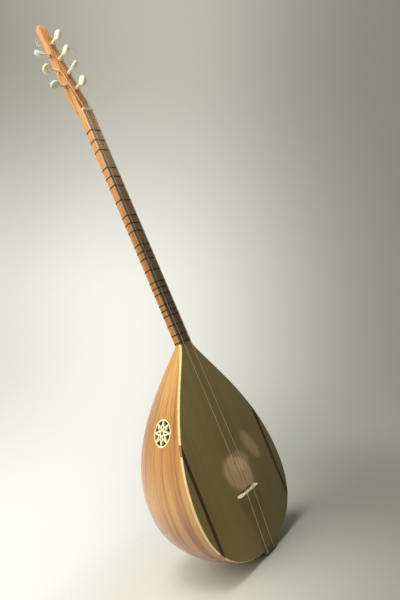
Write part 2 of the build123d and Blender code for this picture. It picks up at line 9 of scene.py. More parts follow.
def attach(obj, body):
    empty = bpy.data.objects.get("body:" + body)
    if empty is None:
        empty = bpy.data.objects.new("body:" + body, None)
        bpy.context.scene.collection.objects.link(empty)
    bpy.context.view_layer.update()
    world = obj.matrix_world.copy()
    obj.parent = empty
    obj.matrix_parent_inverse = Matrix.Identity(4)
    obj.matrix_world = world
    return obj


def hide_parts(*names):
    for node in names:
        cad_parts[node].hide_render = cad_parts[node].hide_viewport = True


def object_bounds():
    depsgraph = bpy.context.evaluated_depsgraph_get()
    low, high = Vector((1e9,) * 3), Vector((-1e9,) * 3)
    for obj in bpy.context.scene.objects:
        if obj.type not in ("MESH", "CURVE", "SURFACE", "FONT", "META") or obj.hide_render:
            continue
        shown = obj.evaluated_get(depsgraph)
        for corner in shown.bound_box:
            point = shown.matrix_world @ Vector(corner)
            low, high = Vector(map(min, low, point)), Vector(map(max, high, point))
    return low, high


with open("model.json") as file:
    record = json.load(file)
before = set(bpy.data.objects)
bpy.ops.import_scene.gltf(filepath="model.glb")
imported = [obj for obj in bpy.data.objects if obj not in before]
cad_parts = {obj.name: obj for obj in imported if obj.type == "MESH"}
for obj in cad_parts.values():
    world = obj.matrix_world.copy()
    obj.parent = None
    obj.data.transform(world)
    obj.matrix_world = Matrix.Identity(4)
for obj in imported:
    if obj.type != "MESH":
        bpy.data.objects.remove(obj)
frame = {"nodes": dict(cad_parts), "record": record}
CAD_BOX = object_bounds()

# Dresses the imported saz: camera, studio, materials, then the detailed pieces.
# The sizes of the instrument are in millimetres and become metres in point().  The camera, the
# studio and the places where a tint changes are in metres.  Angles are in degrees.

MM = 0.001
BODY = "instrument"

# ---- camera and studio -----------------------------------------------------------------------
CAMERA_PLACE = (-0.7554, -0.6832, 0.3993)
CAMERA_FORWARD = (0.7759, 0.6244, 0.0907)
CAMERA_LENS = 30.47
ROOM_UP = (0.1735, -0.3493, 0.9208)        # up in the picture
ROOM_RIGHT = (0.6066, -0.6987, -0.3794)    # right in the picture
BACKDROP_REACH = 0.36                      # how far to each side the backdrop's tones change
BACKDROP_RISE = (-0.02, 0.44)              # where its middle tones give way to the top ones
BACKDROP_FALL = (-0.1, -0.4)               # and to the bottom ones
WORLD_LIGHT = 0.28
WORLD_COLOUR = (1.0, 0.99, 0.96, 1.0)
FLOOR_DROP = 0.002                         # floor below the lowest point of the instrument
FLOOR_REACH = 9.0
FLOOR_RIGHT = (0.656, -0.755, 0.0)
# The floor's grey side is painted shade.
FLOOR_SHIFT = (-0.3, 0.36)                 # where the floor turns from pale to grey
FLOOR_FADE = (0.12, 0.8)                   # distances from the tail over which it clears
# Name, place, target, size, power in watts, colour, and whether gloss shows the lamp.
LAMPS = (
    ("key", (-1.50, 0.9, 1.8), (0.0, 0.05, 0.35), (2.6, 2.6), 55.0, (1.0, 0.96, 0.88), False),
    ("overhead", (-0.6, -0.34, 3.5), (0.0, 0.0, 0.3), (1.3, 1.3), 58.0, (1.0, 0.98, 0.92), True),
)
# A window's reflections in the soundboard: name, place, target, size, power and roll.
PANES = (
    ("pane_large", (0.300, -0.273, 0.050), (0.0, 0.0, 0.149), (0.068, 0.098), 0.0031, 12.0),
    ("pane_top", (0.317, -0.273, 0.078), (0.008, 0.0, 0.172), (0.056, 0.056), 0.0008, 0.0),
    ("pane_small", (0.393, -0.273, 0.098), (0.065, 0.0, 0.184), (0.026, 0.088), 0.0006, 14.0),
)
PANE_COLOUR = (1.0, 0.62, 0.38)
PANE_SPREAD = 36.0

# ---- sizes shared with the CAD model ---------------------------------------------------------
SCALE_LENGTH = 840.0
BRIDGE_Z = 0.135 * SCALE_LENGTH
NUT_Z = BRIDGE_Z + SCALE_LENGTH
JOINT_Z = NUT_Z - 0.6305 * SCALE_LENGTH
BODY_HALF_WIDTH = 142.0
WIDEST_Z = 0.316 * JOINT_Z
JOINT_HALF_WIDTH = 15.0
TAIL_FULLNESS = 2.3
SHOULDER_POWER = 1.25
BOARD_THICKNESS = 5.5
BOWL_DEPTH = 208.0
DEEPEST_Z = 0.3655 * JOINT_Z
TAIL_ROUNDNESS = 2.15
BACK_POWER = 1.9
SECTION_FULLNESS = 2.5
BOWL_WALL = 4.0
BOWL_END_Z = 1.0
STAVE_COUNT = 11
SLOPE_STEP = 0.02
STRIP_X = 0.836 * BODY_HALF_WIDTH
STRIP_WIDTH = 8.0
ROSETTE_ANGLE = 25.0
ROSETTE_Z = 0.665 * JOINT_Z
ROSETTE_RADIUS = 26.5
NUT_HALF_WIDTH = 13.7
FINGERBOARD_FACE_Y = -1.0
NECK_TOP_Y = 2.0
NECK_DEPTH_JOINT = 18.5
NECK_DEPTH_NUT = 16.5
NECK_LEAN = 1.2
NECK_END = 4.0
# Distances from the nut as shares of the scale.
FRETS = (1 / 18, 1 / 12, 1 / 9, 13 / 81, 5 / 27, 17 / 81, 1 / 4, 7 / 24, 5 / 16, 1 / 3, 10 / 27,
         7 / 18, 11 / 27, 7 / 16, 15 / 32, 31 / 64, 1 / 2, 19 / 36, 13 / 24, 5 / 9, 47 / 81,
         49 / 81, 5 / 8)
HEAD_TILT = 6.3
HEAD_LENGTH = 232.0
# Sizes of the head at the nut and at the tip.
HEAD_LEFT = (13.7, 10.8)
HEAD_RIGHT = (13.8, 11.0)
HEAD_DEPTH = (25.0, 14.0)
HEAD_WAVE = 1.5
PEG_PITCH = 41.0
FRONT_PEG_FIRST = 51.5
SIDE_PEG_FIRST = 66.0
SIDE_PEG_DEPTH = 8.0
# Turn of each handle about its shaft, lowest peg first.
FRONT_PEG_TURNS = (-11.0, -40.0, -22.0, -15.0)
SIDE_PEG_TURNS = (-97.0, -57.0, 20.0)
PEG_RADIUS = 3.8
PEG_SEAT = 5.6
PEG_STEM = 17.0
PEG_SWELL_RADIUS = 4.2
PEG_WAIST_RADIUS = 3.1
PEG_TAIL = 2.0
HANDLE_RADIUS = 11.0
HANDLE_THICKNESS = 8.5
WINDING_TURNS = 5
WINDING_LIFT = 1.2
PLAIN_RADIUS = 0.25
WOUND_RADIUS = 0.4
WOUND_PEGS = ("side_2", "front_3")
STRING_X_NUT = (-10.3, -8.7, -0.8, 0.8, 8.0, 9.5, 11.0)
BRIDGE_SPREAD = 1.25
BRIDGE_HALF_LENGTH = 31.0
BRIDGE_HEIGHT = 10.5
BRIDGE_THICKNESS = 4.5
BRIDGE_TOP_THICKNESS = 2.2
BRIDGE_FOOT = 12.0
BRIDGE_ARCH = 4.5

# ---- sizes of the fine detail ----------------------------------------------------------------
STAVE_STATIONS = 96
STAVE_STEPS = 9             # faces across a rib between its seams
SEAM_WIDTH = 0.6
SEAM_DEPTH = 0.14
GRAIN_SHIFT = (0.37, 0.61)  # moves each rib's grain on from its neighbour's, in metres
CUTTER_LENGTH = 40.0
OUTLINE_STATIONS = 150
RIM_ROUNDING = 0.7
PEG_VOXEL = 0.62
PEG_SMOOTHING = 7
COIL_STEPS = 28             # steps in one turn of a winding
TAIL_WIRE_RADIUS = 0.42
FRET_TURNS = 3
FRET_STRAND = 0.34          # radius of the line that a fret is tied from
FRET_PITCH = 1.85 * FRET_STRAND     # one turn of the strand to the next
FRET_BACK_STEPS = 40
FRET_CLEARANCE = 0.04
KNOT_YS = (0.4, 1.15)       # the knot's two wraps, on the neck's right side
BRIDGE_ROUNDING = 2.6       # length of the bridge's rounded ends
KNOB_SWELL = 0.28
KNOB_REACH = 4.0
GROOVE = 0.55               # depth and half width of a string's groove
# Edges that wear softens, and by how much.
WORN_EDGES = {"nut": 0.35, "string_holder": 0.8, "rosette": 0.2, "peghead": 0.7}


def point(x, y, z):
    return Vector((x, y, z)) * MM


def half_width(z):
    """Half the width of the soundboard at height z."""
    if z <= WIDEST_Z:
        run = 1 - (1 - z / WIDEST_Z) ** TAIL_FULLNESS
        return BODY_HALF_WIDTH * run ** (1 / TAIL_FULLNESS)
    rise = (z - WIDEST_Z) / (JOINT_Z - WIDEST_Z)
    return JOINT_HALF_WIDTH + (BODY_HALF_WIDTH - JOINT_HALF_WIDTH) * (1 - rise ** 2) ** SHOULDER_POWER


def bowl_depth(z):
    """Depth of the bowl below its rim at height z."""
    if z <= DEEPEST_Z:
        run = 1 - (1 - z / DEEPEST_Z) ** TAIL_ROUNDNESS
        return BOWL_DEPTH * run ** (1 / TAIL_ROUNDNESS)
    rise = (z - DEEPEST_Z) / (JOINT_Z - DEEPEST_Z)
    return NECK_DEPTH_JOINT + (BOWL_DEPTH - NECK_DEPTH_JOINT) * (1 - rise ** BACK_POWER)


def section_radius(half, depth, angle):
    """Distance from the rim's centre to a half-superellipse, round from the left rim."""
    across = (abs(cos(radians(angle))) / half) ** SECTION_FULLNESS
    down = (abs(sin(radians(angle))) / depth) ** SECTION_FULLNESS
    return (across + down) ** (-1 / SECTION_FULLNESS)


def bowl_radius(z, angle):
    return section_radius(half_width(z), bowl_depth(z), angle)


def bowl_slope(z, angle):
    """Growth of the bowl's radius with height."""
    near = min(z, JOINT_Z - SLOPE_STEP)
    return (bowl_radius(near + SLOPE_STEP, angle) - bowl_radius(near, angle)) / SLOPE_STEP


def stations(low, high, count):
    """Heights from low to high, closer together at both ends."""
    return [low + (high - low) * (1 - cos(pi * i / (count - 1))) / 2 for i in range(count)]


def circle(count):
    """Angles once round, in radians."""
    return [2 * pi * k / count for k in range(count)]


def radial_point(angle, radius, z):
    """A place on the bowl, by its angle round from the left rim."""
    return point(-radius * cos(radians(angle)), BOARD_THICKNESS + radius * sin(radians(angle)), z)


def leaned(x, y, z):
    """A place drawn along a straight neck, moved to where the leaning neck has it."""
    turn = radians(NECK_LEAN)
    out, along = y - FINGERBOARD_FACE_Y, z - JOINT_Z
    return point(x, FINGERBOARD_FACE_Y + out * cos(turn) + along * sin(turn),
                 JOINT_Z - out * sin(turn) + along * cos(turn))


def head_frame():
    """The head's own axes: X across, Y up the head, Z out of its face."""
    tilt = radians(HEAD_TILT + NECK_LEAN)
    up = Vector((0, sin(tilt), cos(tilt)))
    out = Vector((0, -cos(tilt), sin(tilt)))
    turn = Matrix((Vector((1, 0, 0)), up, out)).transposed().to_4x4()
    return Matrix.Translation(leaned(0, NECK_TOP_Y, NUT_Z + NECK_END)) @ turn


def taper(ends, along):
    """A size of the head at one distance from the nut."""
    return ends[0] + (ends[1] - ends[0]) * along / HEAD_LENGTH


def wave(along, crest):
    """How far the head's carved wave stands out."""
    return HEAD_WAVE * cos(2 * pi * (along - crest) / PEG_PITCH)


def peg_frames():
    """Each peg's name, seat, turn, and the shaft's run through the head.  Z leaves the head there."""
    face = head_frame()
    sideways = Matrix(((0, 0, -1, 0), (0, 1, 0, 0), (1, 0, 0, 0), (0, 0, 0, 1)))
    frames = []
    for k, turn in enumerate(FRONT_PEG_TURNS):
        along = FRONT_PEG_FIRST + PEG_PITCH * k
        through = taper(HEAD_DEPTH, along) + wave(along, FRONT_PEG_FIRST)
        seat = face @ Matrix.Translation(point(0, along, 0))
        frames.append((f"front_{k + 1}", seat, turn, through))
    for k, turn in enumerate(SIDE_PEG_TURNS):
        along = SIDE_PEG_FIRST + PEG_PITCH * k
        left = taper(HEAD_LEFT, along)
        through = left + taper(HEAD_RIGHT, along) + wave(along, SIDE_PEG_FIRST)
        seat = face @ Matrix.Translation(point(-left, along, -SIDE_PEG_DEPTH)) @ sideways
        frames.append((f"side_{k + 1}", seat, turn, through))
    return frames


# ---- camera ----------------------------------------------------------------------------------

def make_camera():
    data = bpy.data.cameras.new("camera")
    data.sensor_width = 36.0
    data.lens = CAMERA_LENS
    data.clip_start = 0.05
    data.clip_end = 50.0
    camera = bpy.data.objects.new("camera", data)
    bpy.context.scene.collection.objects.link(camera)
    forward = Vector(CAMERA_FORWARD).normalized()
    right = forward.cross(Vector(ROOM_UP)).normalized()
    up = right.cross(forward)
    turn = Matrix((right, up, -forward)).transposed().to_4x4()
    camera.matrix_world = Matrix.Translation(CAMERA_PLACE) @ turn
    bpy.context.scene.camera = camera


# ---- node trees ------------------------------------------------------------------------------

def srgb(red, green, blue):
    """An sRGB colour of 0 to 255 as the linear colour that a socket takes."""
    def linear(value):
        value /= 255
        return value / 12.92 if value <= 0.04045 else ((value + 0.055) / 1.055) ** 2.4
    return (linear(red), linear(green), linear(blue), 1.0)


def grey(value):
    return (value, value, value, 1.0)


class Tree:
    """A node tree, with short ways to add and join nodes."""

    def __init__(self, owner):
        owner.use_nodes = True
        self.owner = owner
        self.tree = owner.node_tree
        self.tree.nodes.clear()

    def add(self, kind, **values):
        node = self.tree.nodes.new(kind)
        for key, value in values.items():
            setattr(node, key, value)
        return node

    def link(self, start, out, end, into):
        self.tree.links.new(start.outputs[out], end.inputs[into])

    def dot(self, direction, coordinate):
        """How far a coordinate goes in one direction."""
        node = self.add("ShaderNodeVectorMath", operation="DOT_PRODUCT")
        node.inputs[1].default_value = direction
        self.link(self.add("ShaderNodeTexCoord"), coordinate, node, 0)
        return node

    def share(self, source, out, ends, ease="SMOOTHSTEP"):
        """0 to 1 as a value goes from one end to the other."""
        node = self.add("ShaderNodeMapRange", interpolation_type=ease)
        node.inputs["From Min"].default_value, node.inputs["From Max"].default_value = ends
        self.link(source, out, node, "Value")
        return node

    def ramp(self, source, out, stops):
        node = self.add("ShaderNodeValToRGB")
        elements = node.color_ramp.elements
        while len(elements) < len(stops):
            elements.new(0.5)
        for element, (place, colour) in zip(elements, stops):
            element.position = place
            element.color = colour
        self.link(source, out, node, "Fac")
        return node

    def blend(self, mode, factor, first, second):
        """first and second are (node, socket); factor is a number or (node, socket)."""
        node = self.add("ShaderNodeMix", data_type="RGBA", blend_type=mode)
        if isinstance(factor, tuple):
            self.link(factor[0], factor[1], node, 0)
        else:
            node.inputs[0].default_value = factor
        self.link(first[0], first[1], node, 6)
        self.link(second[0], second[1], node, 7)
        return node


class Nodes(Tree):
    """A material's node tree, round one Principled shader."""

    def __init__(self, name):
        super().__init__(bpy.data.materials.new(name))
        self.output = self.add("ShaderNodeOutputMaterial")
        self.shader = self.add("ShaderNodeBsdfPrincipled")
        self.link(self.shader, "BSDF", self.output, "Surface")

    def set(self, **values):
        for key, value in values.items():
            self.shader.inputs[key.replace("_", " ")].default_value = value

    def coordinates(self, scale, uv=None):
        """Object coordinates, or a UV map, stretched by scale."""
        if uv:
            source, out = self.add("ShaderNodeUVMap", uv_map=uv), "UV"
        else:
            source, out = self.add("ShaderNodeTexCoord"), "Object"
        mapping = self.add("ShaderNodeMapping")
        mapping.inputs["Scale"].default_value = scale
        self.link(source, out, mapping, "Vector")
        return mapping

    def noise(self, scale, uv=None, detail=4.0, roughness=0.55, distortion=0.0):
        node = self.add("ShaderNodeTexNoise")
        node.inputs["Scale"].default_value = 1.0
        node.inputs["Detail"].default_value = detail
        node.inputs["Roughness"].default_value = roughness
        node.inputs["Distortion"].default_value = distortion
        self.link(self.coordinates(scale, uv), "Vector", node, "Vector")
        return node

    def bump(self, source, out, strength, distance=0.0002):
        node = self.add("ShaderNodeBump")
        node.inputs["Strength"].default_value = strength
        node.inputs["Distance"].default_value = distance
        self.link(source, out, node, "Height")
        self.link(node, "Normal", self.shader, "Normal")

    def tint(self, source, out, tints):
        """Multiplies the colour by tints in even steps, read from source."""
        colour = self.shader.inputs["Base Color"].links[0].from_socket
        last = len(tints) - 1
        ramp = self.ramp(source, out, [(k / last, tone + (1.0,)) for k, tone in enumerate(tints)])
        node = self.add("ShaderNodeMix", data_type="RGBA", blend_type="MULTIPLY", clamp_result=False)
        node.inputs[0].default_value = 1.0
        self.tree.links.new(colour, node.inputs[6])
        self.link(ramp, "Color", node, 7)
        self.link(node, 2, self.shader, "Base Color")

    def tint_along(self, axis, low, high, *tints):
        """A tint that changes along one of the object's axes, from low to high."""
        split = self.add("ShaderNodeSeparateXYZ")
        self.link(self.add("ShaderNodeTexCoord"), "Object", split, "Vector")
        self.tint(self.share(split, axis, (low, high)), "Result", tints)

    def paint_light_facing(self, axis, start, full, colour):
        """Painted light: a tint for the faces whose normal points along an axis."""
        split = self.add("ShaderNodeSeparateXYZ")
        self.link(self.add("ShaderNodeTexCoord"), "Normal", split, "Vector")
        self.tint(self.share(split, axis, (start, full)), "Result", ((1.0, 1.0, 1.0), colour))


# ---- materials -------------------------------------------------------------------------------

def wood(name, pale, mid, dark, streak, fine, band, uv=None, coat=0.0, coat_roughness=0.1,
         roughness=0.4, pore=0.25, bump=0.08, figure=0.35):
    """Lacquered wood.  streak, fine and band are (across, across, along) noise scales per metre."""
    nodes = Nodes(name)
    broad = nodes.noise(band, uv, detail=2.0, distortion=0.3)
    lines = nodes.noise(streak, uv, detail=5.0, roughness=0.6, distortion=0.15)
    grain = nodes.noise(fine, uv, detail=3.0, roughness=0.7)
    mixed = nodes.blend("MIX", figure, (lines, "Fac"), (broad, "Fac"))
    tone = nodes.ramp(mixed, 2, ((0.34, dark), (0.47, mid), (0.62, pale)))
    veins = nodes.ramp(grain, "Fac", ((0.30, grey(1 - pore)), (0.55, grey(1.0))))
    colour = nodes.blend("MULTIPLY", 1.0, (tone, "Color"), (veins, "Color"))
    nodes.link(colour, 2, nodes.shader, "Base Color")
    shine = nodes.ramp(grain, "Fac", ((0.3, grey(min(1.0, roughness + 0.12))), (0.6, grey(roughness))))
    nodes.link(shine, "Color", nodes.shader, "Roughness")
    nodes.set(Coat_Weight=coat, Coat_Roughness=coat_roughness)
    if bump:
        nodes.bump(grain, "Fac", bump)
    return nodes


def smooth_stuff(name, pale, dark, scale, roughness, coat=0.0, metallic=0.0, bump=0.03):
    """Bone, ivory, nylon or metal: a colour that drifts a little, with a faint uneven surface."""
    nodes = Nodes(name)
    drift = nodes.noise((scale, scale, scale))
    tone = nodes.ramp(drift, "Fac", ((0.32, dark), (0.62, pale)))
    nodes.link(tone, "Color", nodes.shader, "Base Color")
    shine = nodes.ramp(drift, "Fac", ((0.3, grey(roughness + 0.1)), (0.7, grey(roughness))))
    nodes.link(shine, "Color", nodes.shader, "Roughness")
    nodes.set(Coat_Weight=coat, Metallic=metallic)
    if bump:
        nodes.bump(drift, "Fac", bump)
    return nodes


def bowl_woods():
    """The ribs, golden under the neck and pinker and darker towards the tail, a tone that is partly
    the wood's own and partly a painted reflection of the lacquer's sheen, and the hidden blocks.
    """
    ribs = wood("bowl_wood", srgb(240, 192, 116), srgb(216, 157, 82), srgb(98, 54, 20),
                streak=(85, 2.0, 1), fine=(620, 12, 1), band=(24, 1.1, 1), uv="grain",
                coat=0.7, coat_roughness=0.08, roughness=0.4, pore=0.38, figure=0.38)
    # Partly the ribs' own tone, partly painted reflection: the lacquer's sheen, golden near the neck
    # and pink towards the tail.
    ribs.tint_along("Z", 0.03, 0.42, (0.61, 0.51, 0.64), (0.90, 0.87, 0.92), (0.78, 0.66, 0.44),
                    (0.68, 0.54, 0.24), (1.0, 1.02, 0.96))
    blocks = wood("lime_block", srgb(222, 198, 156), srgb(206, 180, 136), srgb(184, 156, 112),
                  streak=(120, 120, 4), fine=(800, 800, 20), band=(40, 40, 2), roughness=0.7)
    return {"bowl_wood": ribs, "lime_block": blocks}


def board_woods():
    """The soundboard's faces, with painted shade and light along and across them, and the cut edges
    that show along its rim in paler copies of their woods, painted light.
    """
    spruce = wood("spruce", srgb(160, 142, 88), srgb(154, 135, 82), srgb(143, 123, 72),
                  streak=(300, 40, 2), fine=(1300, 100, 10), band=(16, 4, 1.2),
                  coat=0.5, coat_roughness=0.07, roughness=0.5, pore=0.04, bump=0.02, figure=0.6)
    spruce.set(Specular_IOR_Level=0.15)
    # Painted shade and light: the spruce darkens towards the tail and towards the right-hand wing, and
    # lightens near the neck, as the lamps fall on it.
    spruce.tint_along("Z", 0.0, 0.42, (0.71, 0.68, 0.64), (0.87, 0.85, 0.82), (1.14, 1.14, 1.18))
    spruce.tint_along("X", -0.05, 0.14, (1.04, 1.04, 1.02), (0.74, 0.76, 0.80))
    # Painted light: the rim gets a paler copy of the spruce, for the light it catches.
    edge = wood("board_edge_painted_light", srgb(250, 232, 152), srgb(244, 222, 138), srgb(226, 196, 112),
                streak=(200, 200, 6), fine=(1500, 900, 20), band=(30, 30, 3),
                coat=0.35, roughness=0.4, pore=0.08, bump=0.02)
    edge.tint_along("Z", 0.02, 0.30, (0.94, 0.84, 1.25), (0.98, 0.92, 1.2), (1.0, 1.0, 1.0))
    strip = wood("dark_strip", srgb(86, 58, 26), srgb(72, 46, 20), srgb(50, 30, 12),
                 streak=(260, 60, 4), fine=(1200, 200, 20), band=(60, 10, 3),
                 coat=0.4, coat_roughness=0.1, roughness=0.5, pore=0.2, bump=0.03)
    strip.set(Specular_IOR_Level=0.15)
    # Painted light: the strip's ends on the rim get a paler copy of the dark strip.
    strip_edge_painted_light = wood("strip_edge_painted_light", srgb(182, 112, 60), srgb(164, 94, 46), srgb(132, 72, 34),
                      streak=(260, 60, 4), fine=(1200, 200, 20), band=(60, 10, 3),
                      coat=0.4, coat_roughness=0.15, roughness=0.4, pore=0.2, bump=0.04)
    holder = wood("holder_wood", srgb(106, 82, 58), srgb(88, 66, 46), srgb(60, 44, 30),
                  streak=(40, 200, 200), fine=(80, 900, 900), band=(20, 60, 60),
                  coat=0.4, roughness=0.4, pore=0.2)
    return {"spruce": spruce, "board_edge_painted_light": edge, "dark_strip": strip, "strip_edge_painted_light": strip_edge_painted_light,
            "holder_wood": holder}


def neck_woods():
    """The neck, painted lighter towards the head; the peghead, whose forward face is painted lighter
    and redder; and the fingerboard, which pales towards the nut in a painted sheen.
    """
    neck = wood("neck_wood", srgb(244, 190, 122), srgb(232, 168, 96), srgb(186, 114, 54),
                streak=(150, 150, 3.5), fine=(900, 900, 24), band=(50, 50, 1.6),
                coat=0.15, coat_roughness=0.25, roughness=0.5, pore=0.12, bump=0.0)
    # Painted shade and light: the neck is darker towards the body and brighter towards the head, where
    # the lamp falls strongest.
    neck.tint_along("Z", 0.42, 0.95, (0.64, 0.60, 0.46), (0.61, 0.53, 0.42), (0.90, 0.88, 0.80))
    head = wood("head_wood_painted_light", srgb(236, 184, 118), srgb(222, 162, 94), srgb(182, 114, 58),
                streak=(150, 150, 3.5), fine=(900, 900, 24), band=(50, 50, 1.6),
                coat=0.15, coat_roughness=0.25, roughness=0.5, pore=0.12, bump=0.0)
    # Painted light: the head's forward face, which the lamps leave in shade, is made lighter and
    # redder.
    head.paint_light_facing("Y", -0.35, -0.85, (1.3, 1.12, 1.12))
    board = wood("fingerboard_wood", srgb(178, 146, 112), srgb(158, 127, 94), srgb(128, 99, 70),
                 streak=(240, 80, 4), fine=(1200, 300, 24), band=(90, 40, 2),
                 coat=0.3, coat_roughness=0.22, roughness=0.45, pore=0.12, bump=0.02)
    # Painted sheen: the fingerboard is darker towards the body and pales towards the nut, where a
    # reflection lies on it.
    board.tint_along("Z", 0.45, 0.95, (0.50, 0.46, 0.42), (0.80, 0.73, 0.66), (1.2, 1.12, 1.05),
                     (2.6, 2.6, 2.6))
    return {"neck_wood": neck, "head_wood_painted_light": head, "fingerboard_wood": board}


def ivory_parts():
    """Bone, ivory and the nylon of the frets, whose slot is named gut."""
    return {
        "gut": smooth_stuff("gut", srgb(46, 30, 20), srgb(24, 15, 10), 300, roughness=0.5),
        "bone": smooth_stuff("bone", srgb(255, 248, 222), srgb(252, 240, 208), 60, roughness=0.4,
                             bump=0.0),
        "peg_ivory": smooth_stuff("peg_ivory", srgb(252, 247, 220), srgb(244, 236, 204), 40,
                                  roughness=0.36, coat=0.2, bump=0.0),
        "rose_ivory": smooth_stuff("rose_ivory", srgb(248, 240, 196), srgb(236, 222, 170), 160,
                                   roughness=0.4),
    }


def string_metals():
    """Strings, darker over the frets as painted shade and brightest at the head as painted light, and
    their loose ends, painted near-white as a highlight.
    """
    steel = smooth_stuff("steel", srgb(138, 130, 110), srgb(112, 105, 88), 400, roughness=0.55,
                         metallic=0.8)
    wound = smooth_stuff("wound_string", srgb(248, 236, 204), srgb(220, 202, 164), 600,
                         roughness=0.55, metallic=0.5)
    # Painted shade and light: the strings darken over the frets and brighten at the head and on the
    # coils.
    for string in (steel, wound):
        string.tint_along("Z", 0.38, 1.02, (1.0, 1.0, 1.0), (0.7, 0.64, 0.56), (0.8, 0.74, 0.66),
                          (0.9, 0.84, 0.76), (1.0, 0.96, 0.9), (1.5, 1.5, 1.5))
    # Painted highlight: the loose ends are the strings' steel, made near-white for the light they
    # catch.
    wire_end_highlight = smooth_stuff("wire_end_highlight", srgb(250, 248, 240), srgb(236, 232, 220), 400, roughness=0.6)
    return {"steel": steel, "wound_string": wound, "wire_end_highlight": wire_end_highlight}


def make_materials():
    made = bowl_woods() | board_woods() | neck_woods() | ivory_parts() | string_metals()
    return {name: nodes.owner for name, nodes in made.items()}


# ---- studio ----------------------------------------------------------------------------------

def floor_material():
    """Pale floor, turned grey to the right by painted shade, that clears away from the tail."""
    nodes = Nodes("studio_pale")
    shift = nodes.share(nodes.dot(FLOOR_RIGHT, "Object"), "Value", FLOOR_SHIFT)
    tone = nodes.ramp(shift, "Result", ((0.0, srgb(216, 216, 207)), (1.0, srgb(136, 136, 127))))
    nodes.link(tone, "Color", nodes.shader, "Base Color")
    nodes.set(Roughness=0.9, Specular_IOR_Level=0.0)
    distance = nodes.add("ShaderNodeVectorMath", operation="LENGTH")
    nodes.link(nodes.add("ShaderNodeTexCoord"), "Object", distance, "Vector")
    fade = nodes.share(distance, "Value", FLOOR_FADE, ease="SMOOTHERSTEP")
    clear = nodes.add("ShaderNodeBsdfTransparent")
    mix = nodes.add("ShaderNodeMixShader")
    nodes.link(fade, "Result", mix, 0)
    nodes.link(nodes.shader, "BSDF", mix, 1)
    nodes.link(clear, "BSDF", mix, 2)
    nodes.link(mix, "Shader", nodes.output, "Surface")
    return nodes.owner


def make_stage():
    """A floor round the tail that fades into the backdrop before it can show an edge."""
    mesh = bpy.data.meshes.new("studio_floor")
    build = bmesh.new()
    floor_z = CAD_BOX[0].z - FLOOR_DROP
    corners = [(x * FLOOR_REACH, y * FLOOR_REACH) for x, y in ((-1, -1), (1, -1), (1, 1), (-1, 1))]
    build.faces.new([build.verts.new((x, y, floor_z)) for x, y in corners])
    build.to_mesh(mesh)
    build.free()
    mesh.materials.append(floor_material())
    floor = bpy.data.objects.new("studio_floor", mesh)
    bpy.context.scene.collection.objects.link(floor)


def backdrop_row(tree, colours):
    """The backdrop's tones from left to right at one height, as (node, socket)."""
    reach = (-BACKDROP_REACH, BACKDROP_REACH)
    across = tree.share(tree.dot(ROOM_RIGHT, "Generated"), "Value", reach, ease="LINEAR")
    last = len(colours) - 1
    row = tree.ramp(across, "Result", [(k / last, tone) for k, tone in enumerate(colours)])
    row.color_ramp.interpolation = "B_SPLINE"
    return row, "Color"


def backdrop(tree):
    """Painted light and shade: bright on the left, greyer to the right and up."""
    top = backdrop_row(tree, (srgb(150, 147, 135), srgb(186, 182, 170), srgb(196, 193, 181),
                              srgb(150, 148, 137), srgb(130, 130, 118)))
    middle = backdrop_row(tree, (srgb(226, 223, 212), srgb(255, 255, 247), srgb(234, 234, 222),
                                 srgb(184, 184, 172), srgb(134, 134, 126)))
    bottom = backdrop_row(tree, (srgb(255, 255, 248), srgb(253, 253, 246), srgb(220, 219, 209),
                                 srgb(132, 134, 122), srgb(168, 166, 155)))
    rise = tree.share(tree.dot(ROOM_UP, "Generated"), "Value", BACKDROP_RISE)
    fall = tree.share(tree.dot(ROOM_UP, "Generated"), "Value", BACKDROP_FALL)
    upper = tree.blend("MIX", (rise, "Result"), middle, top)
    return tree.blend("MIX", (fall, "Result"), (upper, 2), bottom)


def make_world():
    """Even light on the object, with a backdrop that the camera, gloss and glass see."""
    world = bpy.data.worlds.new("studio")
    tree = Tree(world)
    light = tree.add("ShaderNodeBackground")
    light.inputs["Color"].default_value = WORLD_COLOUR
    light.inputs["Strength"].default_value = WORLD_LIGHT
    shown = tree.add("ShaderNodeBackground")
    tree.link(backdrop(tree), 2, shown, "Color")
    path = tree.add("ShaderNodeLightPath")
    seen, out = path, "Is Camera Ray"
    for ray in ("Is Glossy Ray", "Is Transmission Ray"):
        either = tree.add("ShaderNodeMath", operation="MAXIMUM")
        tree.link(seen, out, either, 0)
        tree.link(path, ray, either, 1)
        seen, out = either, "Value"
    mix = tree.add("ShaderNodeMixShader")
    tree.link(seen, out, mix, 0)
    tree.link(light, "Background", mix, 1)
    tree.link(shown, "Background", mix, 2)
    tree.link(mix, "Shader", tree.add("ShaderNodeOutputWorld"), "Surface")
    bpy.context.scene.world = world


def add_lamp(name, place, target, size, power, colour, in_gloss, roll=0.0):
    """A soft lamp that the camera doesn't see."""
    data = bpy.data.lights.new(name, "AREA")
    data.shape = "RECTANGLE"
    data.size, data.size_y = size
    data.energy = power
    data.color = colour
    lamp = bpy.data.objects.new(name, data)
    aim = (Vector(target) - Vector(place)).to_track_quat("-Z", "Y").to_matrix().to_4x4()
    turn = Matrix.Rotation(radians(roll), 4, "Z")
    lamp.matrix_world = Matrix.Translation(Vector(place)) @ aim @ turn
    lamp.visible_camera = False
    lamp.visible_glossy = in_gloss
    bpy.context.scene.collection.objects.link(lamp)
    return lamp


def make_lights():
    """A soft key behind on the left, a small one overhead, and oval panes that only gloss shows."""
    for row in LAMPS:
        add_lamp(*row)
    for name, place, target, size, power, roll in PANES:
        pane = add_lamp(name, place, target, size, power, PANE_COLOUR, True, roll)
        pane.visible_diffuse = False
        pane.data.shape = "ELLIPSE"
        pane.data.spread = radians(PANE_SPREAD)


# ---- making pieces ---------------------------------------------------------------------------

